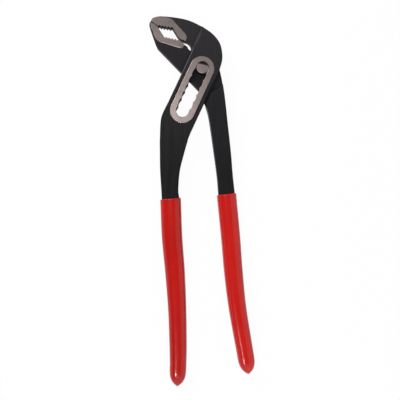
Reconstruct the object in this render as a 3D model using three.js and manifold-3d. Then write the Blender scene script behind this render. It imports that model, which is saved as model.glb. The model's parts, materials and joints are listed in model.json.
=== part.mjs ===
// Box-joint water pump pliers, closed in the first notch and lying flat.
// Millimetres, +Y towards the jaws, +Z up. Shapes are drawn about the pivot pin's axis at the
// first notch and the tool's middle plane; the finished group stands on z = 0.

import * as THREE from 'three';
import { mergeVertices } from 'three/addons/utils/BufferGeometryUtils.js';
import Module from 'manifold-3d';

const wasm = await Module();
wasm.setup();

// Pin, and the slot with its notches
const PIN_RADIUS = 4.75;
const PIN_FLAT = 2.45; // from the pin's axis to its flat
const PIN_FLAT_LEAN = 13; // degrees, clockwise from +Y
const PIN_RECESS = 0.1; // below the ring's face
const PIN_CHAMFER = 0.3;
const BORE_GAP = 0.15;
const SLOT_TILT = 25; // degrees, clockwise from +Y
const NOTCH_COUNT = 7;
const NOTCH_PITCH = 6.35;
const NOTCH_DEPTH = 0.75;
const SLIDE_GAP = 0.1; // from the pin to the points between notches
const END_GAP = 0.35; // round the pin in the first and the last notch
const RING_WIDTH = 4.97; // from the points between notches, at the upper end
const RING_FLARE = 0.25; // more width at the lower end
const RING_DROP = 0.76; // of the ring's upper end below the first notch
const RING_RISE = 0.4;
const RING_CHAMFER = 0.3;

// Box joint
const TONGUE_THICKNESS = 7;
const CHANNEL_GAP = 0.3; // on each side of the tongue
const SWEEP_GAP = 0.5; // round the tongue's swept edges
const CHEEK_THICKNESS = 2.5;
const CHEEK_WIDTH = 26.5;
const CHEEK_CHAMFER = 0.8;
const HUB_RADIUS = 14.2;
const MAX_OPENING = 60; // degrees
const SHOULDER_RADIUS = 21;
const SHOULDER_GAP = 1.8; // from the cheek's edge to the thick handle

// Jaws
const JAW_THICKNESS = 7.2;
const PAD_THICKNESS = 7.8;
const PAD_CHAMFER = 0.3;
const JAW_GAP = 0.3; // where the tips meet
const TOOTH_COUNT = 5;
const TOOTH_DEPTH = 1.2;

// Handles and dipped grips
const SHANK_CORNER = 2.6;
const GRIP_WALL = 1.1;
const GRIP_GAP = 0.3;
const GRIP_CORNER = 5.4;
const GRIP_LIP = 0.6; // rounding of the mouth
const TANG_TIP = 17.5; // length of the pointed end
const TIP_POWER = 4;
const TIP_BLUNT = 0.08; // share of the width left at the very end

// Facets
const ARC_STEP = 9; // degrees
const CURVE_STEPS = 12;
const NOTCH_STEPS = 4;
const CORNER_STEPS = 3;
const GRIP_CORNER_STEPS = 5;
const HANDLE_STEPS = 22;
const TIP_STEPS = 5;

const STEEL_BLACK = { color: 0x2a282a, roughness: 0.5, metalness: 0.6 };
const STEEL_GROUND = { color: 0x8c8280, roughness: 0.4, metalness: 0.9 };
const DIPPED_RED = { color: 0xc8201e, roughness: 0.3, metalness: 0 };

const tongueHalf = TONGUE_THICKNESS / 2;
const channelHalf = tongueHalf + CHANNEL_GAP;
const cheekHalf = channelHalf + CHEEK_THICKNESS;
const ringHalf = cheekHalf + RING_RISE;
const gripMargin = GRIP_WALL + GRIP_GAP;
const tangHalf = ringHalf - gripMargin;
const slotHalf = PIN_RADIUS + SLIDE_GAP;
const endRadius = PIN_RADIUS + END_GAP;
const ringRadius = slotHalf + RING_WIDTH;
const travel = (NOTCH_COUNT - 1) * NOTCH_PITCH;
const beyond = 2 * (travel + CHEEK_WIDTH); // how far cutters reach past what they cut

const v = (x, y) => new THREE.Vector2(x, y);
const radians = THREE.MathUtils.degToRad;
const polar = (radius, angle) => v(radius * Math.cos(radians(angle)), radius * Math.sin(radians(angle)));
const headingOf = (vector) => THREE.MathUtils.radToDeg(Math.atan2(vector.y, vector.x));

// A point given across the slot (positive to the right) and along it (positive towards the jaws).
const slotUp = polar(1, 90 - SLOT_TILT);
const slotAcross = polar(1, -SLOT_TILT);
const onSlot = (across, along) => slotAcross.clone().multiplyScalar(across).addScaledVector(slotUp, along);
const pivot = v(0, 0);
const lastNotch = onSlot(0, -travel);

// Points chosen on the outlines of the levers
const CROWN = [v(16, 6), v(16.1, 11.9), v(14.9, 18.1), v(12.4, 22.9), v(8.2, 27.6)];
const CREASE = [v(0.4, 32.8), v(-4.2, 25), v(-6.7, 19.2)];
const CHEEK_START_RIGHT = 4.7; // along the slot
const CHEEK_START_LEFT = 9.9;
const CHEEK_END_LEFT = -36.2;
const CHEEK_END_RIGHT = -49.5;
const CHEEK_CORNER = [v(-32.4, -37.7), v(-33.8, -44.9)];
const HEAD_ROOT = [v(2.2, 16.2), v(3.2, 30.8)]; // where the upper jaw grows out of the head
const JAW_ROOT = v(0.9, 33.6);
const JAW_BACK = [v(-7.8, 38), v(-15, 40.3), v(-24, 41.8), v(-33.5, 42.5), v(-40.4, 40.9)];
const TIP = v(-42, 38.6);
const CONTACT_END = v(-35.8, 34.4);
const UPPER_TEETH_END = v(-23.5, 32.3);
const UPPER_FLANK_END = v(-18.5, 24.3);
const UPPER_THROAT = [v(-13.6, 22.2), v(-12.3, 21.9), v(-10.6, 20.7), v(-9.3, 19.3), v(-8.4, 17.5)];
const UPPER_PAD_BACK = [v(-12.3, 25.2), v(-13.3, 27.6), v(-23.9, 39.4), v(-25.7, 40.6)];
const LOWER_FLANK = [v(-35.1, 32.1), v(-31.3, 26.2)];
const LOWER_TEETH_END = v(-19.1, 23.5);
const LOWER_PAD_END = [v(-15.6, 20.5), v(-14, 19)];
const LOWER_THROAT = [v(-12.4, 17.8), v(-11.6, 16.6), v(-10.7, 16), v(-9.7, 15.6)];
const LOWER_JAW_BACK = [v(-42.9, 35.6), v(-41.4, 30.8), v(-39.7, 25.9), v(-38.2, 21.6), v(-36.3, 17.2)];
const LOWER_PAD_BACK = [v(-41.7, 33.9), v(-38.2, 24.5), v(-35.4, 21.7), v(-18.4, 16.6), v(-16.3, 16.3)];
const HUB_FROM = 112; // degrees
const HUB_TO = -4;
const NECK = [v(-3.2, -17), v(0, -22.5)]; // where the tongue's edge turns into the handle

// Edges of the shanks and tangs, from the box to the start of the pointed ends
const OUTER_LEFT = [v(-32.3, -44.8), v(-34.2, -55.4), v(-34.3, -69.2), v(-34.1, -83), v(-33.1, -99.9),
  v(-32.7, -108.8), v(-31.5, -137.1), v(-28.7, -166.6), v(-26.4, -196), v(-25.3, -225), v(-25, -240)];
const OUTER_RIGHT = [v(-8.6, -44.8), v(-11, -55.4), v(-14.8, -69.2), v(-18.1, -83), v(-19.3, -98.4),
  v(-18.4, -107.4), v(-17.4, -135.3), v(-15.3, -164.6), v(-14.1, -194.2), v(-13.7, -224), v(-14, -240.4)];
const OUTER_MOUTH = -106;
const INNER_LEFT = [v(-4.5, -5.7), v(-0.4, -19.9), v(3.3, -30.8), v(5.8, -41.2), v(9.6, -67.9),
  v(12.2, -87.8), v(13.6, -104.8), v(16.8, -137), v(19.4, -166.4), v(23.2, -196), v(29.6, -231.4)];
const INNER_RIGHT = [v(15.8, -8.1), v(17.6, -19.4), v(19.2, -32.1), v(20.3, -41.9), v(23.2, -67.3),
  v(24.9, -86.8), v(26.7, -103.2), v(29.7, -135.4), v(31.9, -164.8), v(34.8, -193.9), v(40.5, -229.6)];
const INNER_MOUTH = -102.3;
const EASE_START = 0.1; // where a shank starts to thin, as a share of its spline

// A closed solid from a geometry whose faces meet at shared points.
function solid(geometry) {
  const bare = geometry.clone();
  bare.deleteAttribute('normal');
  bare.deleteAttribute('uv');
  const merged = mergeVertices(bare);
  return new wasm.Manifold(new wasm.Mesh({
    numProp: 3,
    vertProperties: new Float32Array(merged.attributes.position.array),
    triVerts: new Uint32Array(merged.index.array),
  }));
}

// A named mesh from a solid.
function piece(name, shape, finish) {
  const { vertProperties, triVerts } = shape.getMesh();
  const geometry = new THREE.BufferGeometry();
  geometry.setAttribute('position', new THREE.BufferAttribute(new Float32Array(vertProperties), 3));
  geometry.setIndex(new THREE.BufferAttribute(new Uint32Array(triVerts), 1));
  geometry.computeVertexNormals();
  const mesh = new THREE.Mesh(geometry, new THREE.MeshStandardMaterial(finish));
  mesh.name = name;
  return mesh;
}

// A flat piece with the given outline, centred on the middle plane.
function plate(outline, half, chamfer = 0) {
  const geometry = new THREE.ExtrudeGeometry(new THREE.Shape(outline), {
    depth: 2 * (half - chamfer),
    bevelEnabled: chamfer > 0,
    bevelThickness: chamfer,
    bevelSize: chamfer,
    bevelOffset: -chamfer,
    bevelSegments: 1,
  });
  geometry.translate(0, 0, chamfer - half);
  return solid(geometry);
}

// Points of an arc about a centre, both ends included.
function arc(centre, radius, from, to) {
  const steps = Math.max(1, Math.ceil(Math.abs(to - from) / ARC_STEP));
  return Array.from({ length: steps + 1 }, (_, i) =>
    polar(radius, from + ((to - from) * i) / steps).add(centre));
}

// Points of a full circle.
function circle(centre, radius) {
  return arc(centre, radius, 0, 360).slice(1);
}

// Points of a smooth curve through the given points.
function curve(points, steps = CURVE_STEPS) {
  return new THREE.SplineCurve(points).getPoints(steps);
}

// A row of teeth whose tips lie on the line between two points, cut into its left side.
function teeth(from, to) {
  const along = to.clone().sub(from);
  const inward = v(-along.y, along.x).setLength(TOOTH_DEPTH);
  return Array.from({ length: 2 * TOOTH_COUNT + 1 }, (_, i) => {
    const point = from.clone().addScaledVector(along, i / (2 * TOOTH_COUNT));
    return i % 2 ? point.add(inward) : point;
  });
}

// A rounded rectangle as points (across, up), anticlockwise.
function section(halfWidth, halfHeight, corner, steps) {
  const r = Math.min(corner, halfWidth, halfHeight);
  const corners = [[1, 1, 0], [-1, 1, 90], [-1, -1, 180], [1, -1, 270]];
  return corners.flatMap(([sideways, upwards, start]) => Array.from({ length: steps + 1 }, (_, i) =>
    polar(r, start + (90 * i) / steps).add(v(sideways * (halfWidth - r), upwards * (halfHeight - r)))));
}

// A closed skin over stations, each with a centre, a direction across and its section.
function loft(stations) {
  const count = stations[0].points.length;
  const positions = stations.flatMap(({ centre, across, points }) => points.flatMap((p) =>
    [centre.x + across.x * p.x, centre.y + across.y * p.x, p.y]));
  const last = (stations.length - 1) * count;
  const index = [];
  for (let ring = 0; ring < last; ring += count) {
    for (let i = 0; i < count; i += 1) {
      const a = ring + i;
      const b = ring + ((i + 1) % count);
      index.push(a, b, a + count, b, b + count, a + count);
    }
  }
  for (let i = 1; i + 1 < count; i += 1) {
    index.push(0, i + 1, i, last, last + i, last + i + 1);
  }
  const geometry = new THREE.BufferGeometry();
  geometry.setAttribute('position', new THREE.Float32BufferAttribute(positions, 3));
  geometry.setIndex(index);
  return solid(geometry);
}

// A handle drawn between two edges, with a pointed end.
class Handle {
  constructor(left, right, mouth) {
    this.left = new THREE.SplineCurve(left);
    this.right = new THREE.SplineCurve(right);
    this.mouth = this.shareAt(mouth);
  }

  // The middle, the direction across and half the width at a share of the spline.
  at(share) {
    const left = this.left.getPoint(share);
    const right = this.right.getPoint(share);
    const across = right.clone().sub(left);
    return {
      centre: left.add(right).multiplyScalar(0.5),
      half: across.length() / 2,
      across: across.normalize(),
    };
  }

  // The share of the spline at which the handle's middle reaches a height, found by halving.
  shareAt(y) {
    let low = 0;
    let high = 1;
    while (high - low > 1e-6) {
      const middle = (low + high) / 2;
      if (this.at(middle).centre.y > y) {
        low = middle;
      } else {
        high = middle;
      }
    }
    return low;
  }

  // How far the shank has eased from the box's section to the tang's, from 0 to 1.
  ease(share) {
    return THREE.MathUtils.smoothstep(share, EASE_START, this.mouth);
  }

  // The shank grows thinner and rounder from the box to the mouth of the grip.
  halfHeight(share) {
    return THREE.MathUtils.lerp(cheekHalf, tangHalf, this.ease(share));
  }

  shankCorner(share) {
    return THREE.MathUtils.lerp(CHEEK_CHAMFER, SHANK_CORNER, this.ease(share));
  }

  // Stations of the handle grown by a margin, from a share of the spline to the tip.
  stations(start, margin, cornerAt, steps) {
    const body = Array.from({ length: HANDLE_STEPS + 1 }, (_, i) => {
      const share = THREE.MathUtils.lerp(start, 1, i / HANDLE_STEPS);
      const { centre, across, half } = this.at(share);
      const halfHeight = this.halfHeight(share) + margin;
      return { centre, across, points: section(half + margin, halfHeight, cornerAt(share), steps) };
    });
    const { centre, across, half } = this.at(1);
    const onward = v(across.y, -across.x);
    const reach = (1 - TIP_BLUNT) ** (1 / TIP_POWER);
    const tip = Array.from({ length: TIP_STEPS }, (_, i) => {
      const share = reach * Math.sin((Math.PI / 2) * ((i + 1) / TIP_STEPS));
      const taper = 1 - share ** TIP_POWER;
      return {
        centre: centre.clone().addScaledVector(onward, share * (TANG_TIP + margin)),
        across,
        points: section(taper * (half + margin), taper * (tangHalf + margin), taper * cornerAt(1), steps),
      };
    });
    return [...body, ...tip];
  }

  // The steel shank and tang.
  shank() {
    return loft(this.stations(0, 0, (share) => this.shankCorner(share), CORNER_STEPS));
  }

  // The dipped sleeve over the tang, with a rounded lip at its mouth.
  sleeve() {
    const outside = this.stations(this.mouth, gripMargin, () => GRIP_CORNER, GRIP_CORNER_STEPS);
    const { centre, across, half } = this.at(this.mouth);
    const lipMargin = gripMargin - GRIP_LIP;
    const lip = {
      centre: centre.addScaledVector(v(across.y, -across.x), -GRIP_LIP),
      across,
      points: section(half + lipMargin, tangHalf + lipMargin, GRIP_CORNER, GRIP_CORNER_STEPS),
    };
    const cavityCorner = (share) => this.shankCorner(share) + GRIP_GAP;
    const cavity = this.stations(this.mouth / 2, GRIP_GAP, cavityCorner, CORNER_STEPS);
    return loft([lip, ...outside]).subtract(loft(cavity));
  }
}

const outerHandle = new Handle(OUTER_LEFT, OUTER_RIGHT, OUTER_MOUTH);
const innerHandle = new Handle(INNER_LEFT, INNER_RIGHT, INNER_MOUTH);

// The slot: a row of shallow arcs on each side, between two round ends. The first and the last
// notch are the round ends themselves.
function slotOutline() {
  const bulge = (NOTCH_PITCH ** 2 / 4 + NOTCH_DEPTH ** 2) / (2 * NOTCH_DEPTH);
  const side = (sign) => Array.from({ length: (NOTCH_COUNT - 2) * NOTCH_STEPS + 1 }, (_, i) => {
    const share = 0.5 + i / NOTCH_STEPS;
    const offNotch = (share - Math.round(share)) * NOTCH_PITCH;
    const depth = Math.sqrt(bulge ** 2 - offNotch ** 2) - bulge + NOTCH_DEPTH;
    return onSlot(sign * (slotHalf + depth), -share * NOTCH_PITCH);
  });
  return [
    ...side(1).reverse(),
    ...arc(pivot, endRadius, -SLOT_TILT, 180 - SLOT_TILT),
    ...side(-1),
    ...arc(lastNotch, endRadius, 180 - SLOT_TILT, 360 - SLOT_TILT),
  ];
}

// The raised ring round the slot.
function ringOutline() {
  return [
    ...arc(onSlot(0, -RING_DROP), ringRadius, -SLOT_TILT, 180 - SLOT_TILT),
    ...arc(lastNotch, ringRadius + RING_FLARE, 180 - SLOT_TILT, 360 - SLOT_TILT),
  ];
}

// The head and the cheeks of the box.
function boxOutline() {
  const side = CHEEK_WIDTH / 2;
  return [
    ...curve([onSlot(side, CHEEK_START_RIGHT), ...CROWN, CREASE[0]], 2 * CURVE_STEPS),
    ...CREASE.slice(1),
    onSlot(-side, CHEEK_START_LEFT),
    ...curve([onSlot(-side, CHEEK_END_LEFT), ...CHEEK_CORNER, OUTER_LEFT[1]]),
    OUTER_RIGHT[1],
    onSlot(side, CHEEK_END_RIGHT),
  ];
}

// The mouth of the upper jaw, from the tip to the throat.
const upperMouth = [TIP, ...teeth(CONTACT_END, UPPER_TEETH_END), UPPER_FLANK_END];

function upperJawOutline() {
  return [...HEAD_ROOT, ...curve([JAW_ROOT, ...JAW_BACK]), ...upperMouth, ...UPPER_THROAT];
}

function upperPadOutline() {
  return [...UPPER_PAD_BACK, ...JAW_BACK.slice(3), ...upperMouth, UPPER_THROAT[0]];
}

// The mouth of the lower jaw. Where the tips meet it keeps a small gap to the upper one.
function lowerMouth() {
  const along = CONTACT_END.clone().sub(TIP);
  const drop = v(along.y, -along.x).setLength(JAW_GAP);
  return [
    TIP.clone().add(drop),
    CONTACT_END.clone().add(drop),
    LOWER_FLANK[0],
    ...teeth(LOWER_TEETH_END, LOWER_FLANK[1]).reverse(),
    ...LOWER_PAD_END,
  ];
}

// The lower jaw, the tongue with its hub, and the neck of the handle.
function tongueOutline() {
  return [
    ...lowerMouth(),
    ...LOWER_THROAT,
    ...arc(pivot, HUB_RADIUS, HUB_FROM, HUB_TO),
    ...curve(INNER_RIGHT.slice(0, 3)),
    ...curve([INNER_LEFT[2], NECK[1], NECK[0]]),
    ...curve([...LOWER_JAW_BACK].reverse()),
  ];
}

function lowerPadOutline() {
  return [...lowerMouth(), ...[...LOWER_PAD_BACK].reverse()];
}

// The passage for the tongue, open to both sides. Its top follows the hub and the neck at full
// opening. Its foot follows the tongue in the last notch, closed on the right and open on the left.
function channelOutline() {
  const jawCorner = LOWER_JAW_BACK.at(-1);
  const edge = NECK[0].clone().sub(jawCorner);
  const reach = Math.abs(edge.cross(jawCorner)) / edge.length() + SWEEP_GAP;
  const edgeNormal = headingOf(v(edge.y, -edge.x));
  const foot = polar(reach / Math.cos(radians(MAX_OPENING / 2)), edgeNormal + MAX_OPENING / 2).add(lastNotch);
  const footLeft = foot.clone().addScaledVector(polar(1, edgeNormal + MAX_OPENING - 90), beyond);
  const footRight = [...NECK, INNER_LEFT[2], INNER_LEFT[3]].map((point) =>
    point.clone().add(lastNotch).add(v(-SWEEP_GAP, 0)));
  const hub = HUB_RADIUS + SWEEP_GAP;
  const neck = INNER_RIGHT[1].clone().sub(INNER_RIGHT[0]);
  const neckNormal = headingOf(v(-neck.y, neck.x)) + MAX_OPENING;
  const neckEnd = polar(hub, neckNormal).addScaledVector(polar(1, neckNormal - 90), beyond);
  const throat = LOWER_THROAT.at(-1).clone().add(v(0, 2 * SWEEP_GAP));
  return [
    v(throat.x - beyond, throat.y),
    throat,
    ...arc(pivot, hub, HUB_FROM, neckNormal),
    neckEnd,
    v(neckEnd.x, footRight.at(-1).y),
    ...footRight.reverse(),
    foot,
    footLeft,
  ];
}

// Upper jaw, head, slotted cheeks and left handle, in one forging.
function outerLever() {
  return plate(boxOutline(), cheekHalf, CHEEK_CHAMFER)
    .add(outerHandle.shank())
    .add(plate(upperJawOutline(), JAW_THICKNESS / 2))
    .add(plate(upperPadOutline(), PAD_THICKNESS / 2, PAD_CHAMFER))
    .add(plate(ringOutline(), ringHalf, RING_CHAMFER))
    .subtract(plate(slotOutline(), beyond))
    .subtract(plate(channelOutline(), channelHalf));
}

// Lower jaw, tongue and right handle, in one forging. The handle is thick only where it stays
// clear of the cheeks and the head.
function innerLever() {
  const clear = CHEEK_WIDTH / 2 + SHOULDER_GAP;
  const besideCheek = [onSlot(clear, beyond), onSlot(-beyond, beyond),
    onSlot(-beyond, -beyond), onSlot(clear, -beyond)];
  return innerHandle.shank()
    .subtract(plate(besideCheek, beyond))
    .subtract(plate(circle(pivot, SHOULDER_RADIUS), beyond))
    .add(plate(tongueOutline(), tongueHalf))
    .add(plate(lowerPadOutline(), PAD_THICKNESS / 2, PAD_CHAMFER))
    .subtract(plate(circle(pivot, PIN_RADIUS + BORE_GAP), beyond));
}

// The pin, round but for one flat that faces the jaws.
function pivotPin() {
  const lean = 90 - PIN_FLAT_LEAN;
  const flatHalf = THREE.MathUtils.radToDeg(Math.acos(PIN_FLAT / PIN_RADIUS));
  const outline = arc(pivot, PIN_RADIUS, lean + flatHalf, lean + 360 - flatHalf);
  return plate(outline, ringHalf - PIN_RECESS, PIN_CHAMFER);
}

const pliers = new THREE.Group();
pliers.name = 'water_pump_pliers';
pliers.add(
  piece('outer_lever', outerLever(), STEEL_BLACK),
  piece('inner_lever', innerLever(), STEEL_BLACK),
  piece('pivot_pin', pivotPin(), STEEL_GROUND),
  piece('outer_grip', outerHandle.sleeve(), DIPPED_RED),
  piece('inner_grip', innerHandle.sleeve(), DIPPED_RED),
);

// The origin is the middle of the underside.
const box = new THREE.Box3().setFromObject(pliers);
const middle = box.getCenter(new THREE.Vector3());
pliers.position.set(-middle.x, -middle.y, -box.min.z);

export default pliers;
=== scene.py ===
"""Box-joint water pump pliers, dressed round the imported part.

Shapes are worked out in millimetres about the pivot pin's axis and the tool's middle plane, with
+Y towards the jaws and +Z up, and are put into the shared frame, in metres, when a mesh is made.
"""

from __future__ import annotations

import json
import logging
import math
from dataclasses import dataclass, field
from enum import Enum, IntEnum
from typing import Any, Sequence

import bpy
import numpy as np
from mathutils import Matrix, Vector

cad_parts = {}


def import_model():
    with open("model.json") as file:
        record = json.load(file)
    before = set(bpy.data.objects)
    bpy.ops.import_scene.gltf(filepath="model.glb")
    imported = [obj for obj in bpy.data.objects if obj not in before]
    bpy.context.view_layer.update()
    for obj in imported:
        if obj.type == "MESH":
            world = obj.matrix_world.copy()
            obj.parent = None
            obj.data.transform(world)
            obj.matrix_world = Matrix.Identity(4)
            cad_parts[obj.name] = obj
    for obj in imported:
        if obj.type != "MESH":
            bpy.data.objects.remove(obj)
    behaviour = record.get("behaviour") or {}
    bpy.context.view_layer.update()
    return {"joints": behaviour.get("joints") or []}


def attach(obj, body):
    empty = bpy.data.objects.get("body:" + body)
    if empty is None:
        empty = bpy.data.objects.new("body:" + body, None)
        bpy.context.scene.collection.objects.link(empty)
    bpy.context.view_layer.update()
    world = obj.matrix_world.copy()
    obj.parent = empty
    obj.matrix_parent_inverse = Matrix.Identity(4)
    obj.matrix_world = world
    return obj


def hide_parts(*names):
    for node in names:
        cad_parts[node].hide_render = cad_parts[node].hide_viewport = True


LOG = logging.getLogger("pliers")
MM = 0.001
IMAGE_SIDE = 400  # pixels, of the square picture

Point = tuple[float, float]  # mm
Points = Sequence[Point]
Place = tuple[float, float, float]  # metres
Colour = tuple[float, float, float]
Socket = bpy.types.NodeSocket
Finishes = Sequence[bpy.types.Material]


class Mark(IntEnum):
    """Which finish a face takes: its place in the list of a lever's finishes."""

    BLACK = 0
    GROUND = 1
    # WALL: a much darker finish of the sides, slot and passage walls, painted shade
    WALL = 2
    # EDGE: lighter finish of the bright fillets, a painted highlight
    EDGE = 3


class Cut(Enum):
    """How one solid is put together with another."""

    JOIN = "UNION"
    CUT = "DIFFERENCE"


def linear(red: int, green: int, blue: int) -> Colour:
    """Scene-linear colour of a display colour.

    A share c of full is c / 12.92 where it is dark, and ((c + 0.055) / 1.055)^2.4 elsewhere.

    Args:
        red: 0 to 255.
        green: 0 to 255.
        blue: 0 to 255.

    Returns:
        The colour, 0 to 1 each.
    """
    share = np.array([red, green, blue]) / 255
    low = share / 12.92
    high = ((share + 0.055) / 1.055) ** 2.4
    return tuple(float(c) for c in np.where(share <= 0.04045, low, high))


class Board:
    """The node tree of one material, with short calls to add and join its nodes."""

    def __init__(self, name: str) -> None:
        """Makes an empty material.

        Args:
            name: the material's name.
        """
        self.material = bpy.data.materials.new(name)
        self.material.use_nodes = True
        self.tree = self.material.node_tree
        self.tree.nodes.clear()

    def add(self, kind: str, inputs: dict[Any, Any] | None = None, **settings: Any) -> bpy.types.Node:
        """Adds a node.

        Args:
            kind: Blender's name of the node type.
            inputs: input name or number to a constant, or to a socket that is linked to it.
            settings: the node's own settings.

        Returns:
            The new node.
        """
        node = self.tree.nodes.new(kind)
        for key, value in settings.items():
            setattr(node, key, value)
        for key, value in (inputs or {}).items():
            if isinstance(value, Socket):
                self.tree.links.new(value, node.inputs[key])
            else:
                node.inputs[key].default_value = value
        return node

    def sums(self, operation: str, first: Socket | float, second: Socket | float) -> Socket:
        """Two numbers put together by one of Blender's named operations."""
        return self.add("ShaderNodeMath", {0: first, 1: second}, operation=operation).outputs[0]

    def place(self, scale: tuple[float, float, float] = (1, 1, 1), turn: float = 0.0) -> Socket:
        """Object coordinates, turned and stretched.

        Args:
            scale: features per metre along each axis.
            turn: degrees about +Z, before the stretch.

        Returns:
            The coordinates.
        """
        source = self.add("ShaderNodeTexCoord").outputs["Object"]
        turned = {"Vector": source, "Rotation": (0, 0, math.radians(turn))}
        stretched = {"Vector": self.add("ShaderNodeMapping", turned).outputs["Vector"], "Scale": scale}
        return self.add("ShaderNodeMapping", stretched).outputs["Vector"]

    def noise(self, place: Socket, detail: float = 3.0) -> Socket:
        """A noise of about one feature per unit of its place, from 0 to 1."""
        settings = {"Vector": place, "Scale": 1.0, "Detail": detail, "Roughness": 0.55}
        return self.add("ShaderNodeTexNoise", settings).outputs["Fac"]

    def spread(self, value: Socket, source: tuple[float, float], goal: tuple[float, float]) -> Socket:
        """Carries numbers from one range over to another, and holds them to it."""
        ends = dict(zip(("From Min", "From Max", "To Min", "To Max"), (*source, *goal)))
        return self.add("ShaderNodeMapRange", {"Value": value, **ends}).outputs["Result"]

    def between(self, share: Socket, low: float, high: float) -> Socket:
        """Spreads the middle of a noise over a range of numbers."""
        middle = (0.3, 0.7)
        return self.spread(share, middle, (low, high))

    def blend(self, share: Socket, first: Colour, second: Colour) -> Socket:
        """Mixes two colours.

        Args:
            share: how much of the second one is in it, 0 to 1.
            first: the colour at 0.
            second: the colour at 1.

        Returns:
            The mix.
        """
        node = self.add("ShaderNodeMix", data_type="RGBA")
        self.tree.links.new(share, node.inputs["Factor"])
        colour_sockets = [s for s in node.inputs if s.type == "RGBA"]
        for socket, colour in zip(colour_sockets, (first, second)):
            socket.default_value = (*colour, 1)
        return next(s for s in node.outputs if s.type == "RGBA")

    def bump(self, height: Socket, depth: float) -> Socket:
        """A bump whose full height is a depth in millimetres."""
        settings = {"Height": height, "Distance": depth * MM, "Strength": 1.0}
        return self.add("ShaderNodeBump", settings).outputs["Normal"]

    def finish(self, shader: Socket) -> bpy.types.Material:
        """Joins the shader to the output and gives the material."""
        self.add("ShaderNodeOutputMaterial", {"Surface": shader})
        return self.material


@dataclass(frozen=True)
class BlackOxide:
    """Blackened steel: satin, finely blasted, streaked along the tool, with painted light that lightens it
    towards the jaws and painted shade that darkens it towards the handles.
    """

    name: str
    dark: Colour
    light: Colour
    roughness: tuple[float, float] = (0.4, 0.52)
    gloss: float = 0.4
    grain: float = 0.012  # mm
    metal: float = 0.0
    mottled: float = 0.3  # share of the tone that is mottle and streaks
    painted_light_span: tuple[float, float] = (0.02, 0.14)  # y from the darkest to the lightest, metres: painted shade to painted light along the tool
    shaded_round: Place | None = None  # middle of a patch of painted shade, where the tongue lies recessed between the cheeks
    shade_reach: tuple[float, float] = (0.009, 0.017)  # over which the painted shade fades out, metres

    def unshaded(self, board: Board) -> Socket:
        """0 in the painted shade, rising to 1 with the distance from its middle."""
        off = board.add("ShaderNodeVectorMath", {0: board.place(), 1: self.shaded_round}, operation="DISTANCE")
        return board.spread(off.outputs["Value"], self.shade_reach, (0.0, 1.0))

    def material(self) -> bpy.types.Material:
        """Colour from a fine mottle, streaks, painted light along the tool and a patch of painted shade,
        and gloss from the mottle.

        Returns:
            The material.
        """
        board = Board(self.name)
        mottle = board.noise(board.place((900, 900, 900)))
        streak = board.noise(board.place((420, 22, 420)), detail=2.0)
        shade = board.sums("MULTIPLY", board.sums("MULTIPLY", mottle, streak), 2.0)
        along = board.add("ShaderNodeSeparateXYZ", {"Vector": board.place()}).outputs["Y"]
        # painted light towards the jaws and painted shade towards the handles, by height along the tool
        painted_light = board.spread(along, self.painted_light_span, (0.0, 1 - self.mottled))
        tone = board.sums("ADD", board.between(shade, 0.0, self.mottled), painted_light)
        # darkens the tone round the pin: painted shade where the tongue lies recessed between the cheeks
        if self.shaded_round is not None:
            tone = board.sums("MULTIPLY", tone, self.unshaded(board))
        blast = board.noise(board.place((3200, 3200, 3200)), detail=2.0)
        shader = board.add("ShaderNodeBsdfPrincipled", {
            "Base Color": board.blend(tone, self.dark, self.light),
            "Roughness": board.between(mottle, *self.roughness),
            "Metallic": self.metal,
            "Specular IOR Level": self.gloss,
            "Normal": board.bump(blast, self.grain),
        })
        return board.finish(shader.outputs["BSDF"])


@dataclass(frozen=True)
class GroundSteel:
    """Bare steel, surface ground in one direction."""

    name: str
    dark: Colour
    light: Colour
    lay: float  # degrees from +Y, clockwise, in which the wheel ran
    roughness: tuple[float, float] = (0.29, 0.36)
    groove: float = 0.006  # mm

    def material(self) -> bpy.types.Material:
        """Fine parallel scratches in colour, gloss and height, over a broad cloudiness.

        Returns:
            The material.
        """
        board = Board(self.name)
        scratch = board.noise(board.place((4200, 130, 900), turn=self.lay), detail=4.0)
        cloud = board.noise(board.place((160, 160, 160)), detail=2.0)
        mean = board.sums("MULTIPLY", board.sums("ADD", scratch, cloud), 0.5)
        shader = board.add("ShaderNodeBsdfPrincipled", {
            "Base Color": board.blend(board.between(mean, 0.0, 1.0), self.dark, self.light),
            "Roughness": board.between(scratch, *self.roughness),
            "Metallic": 1.0,
            "Normal": board.bump(scratch, self.groove),
        })
        return board.finish(shader.outputs["BSDF"])


@dataclass(frozen=True)
class DippedVinyl:
    """Plastic that the handle was dipped into: glossy, with a very faint orange peel."""

    name: str
    deep: Colour
    bright: Colour
    roughness: tuple[float, float] = (0.2, 0.25)
    peel: float = 0.006  # mm
    gloss: float = 0.3
    coat: float = 0.1
    coat_roughness: float = 0.08

    def material(self) -> bpy.types.Material:
        """Colour drifts slowly, and a shallow ripple softens the reflections.

        Returns:
            The material.
        """
        board = Board(self.name)
        drift = board.noise(board.place((70, 25, 70)), detail=2.0)
        peel = board.noise(board.place((330, 200, 330)), detail=1.0)
        shader = board.add("ShaderNodeBsdfPrincipled", {
            "Base Color": board.blend(board.between(drift, 0.0, 1.0), self.deep, self.bright),
            "Roughness": board.between(peel, *self.roughness),
            "Specular IOR Level": self.gloss,
            "Coat Weight": self.coat,
            "Coat Roughness": self.coat_roughness,
            "Normal": board.bump(peel, self.peel),
        })
        return board.finish(shader.outputs["BSDF"])


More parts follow.
